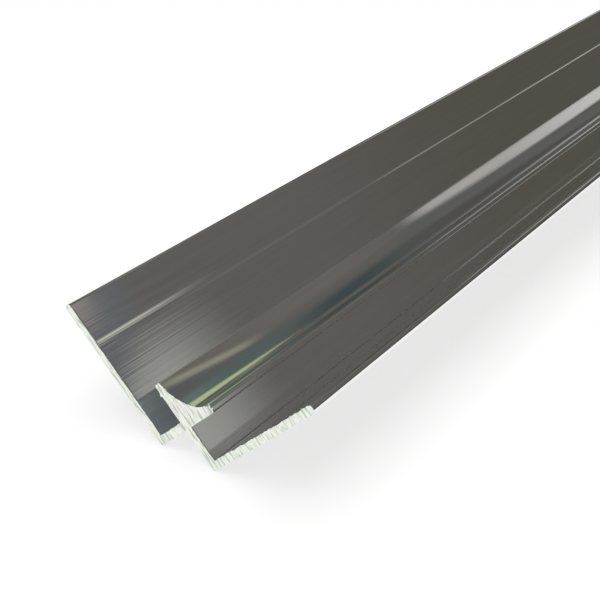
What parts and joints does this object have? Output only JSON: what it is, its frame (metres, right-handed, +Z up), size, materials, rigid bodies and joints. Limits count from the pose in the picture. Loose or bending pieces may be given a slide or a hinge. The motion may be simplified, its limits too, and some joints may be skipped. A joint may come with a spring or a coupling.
{
  "type": "aluminium internal corner trim profile",
  "caption": "Straight aluminium extrusion: an internal corner trim with wall flanges, open panel slots and a hollow cove between them.",
  "frame": {"origin": "middle of the length, on the floor line under the two back corners that the profile rests on, on its line of symmetry", "axes": "+X along the extrusion, +Y towards flange A, +Z up, out of the open cove; both flanges lean at 45 degrees"},
  "size_m": [1, 0.0464, 0.0188],
  "materials": {
    "aluminium": "smooth polished mill finish with fine die lines along its length, bare saw-cut ends"
  },
  "bodies": {
    "root": {"corner_profile": "aluminium"}
  },
  "joints": []
}
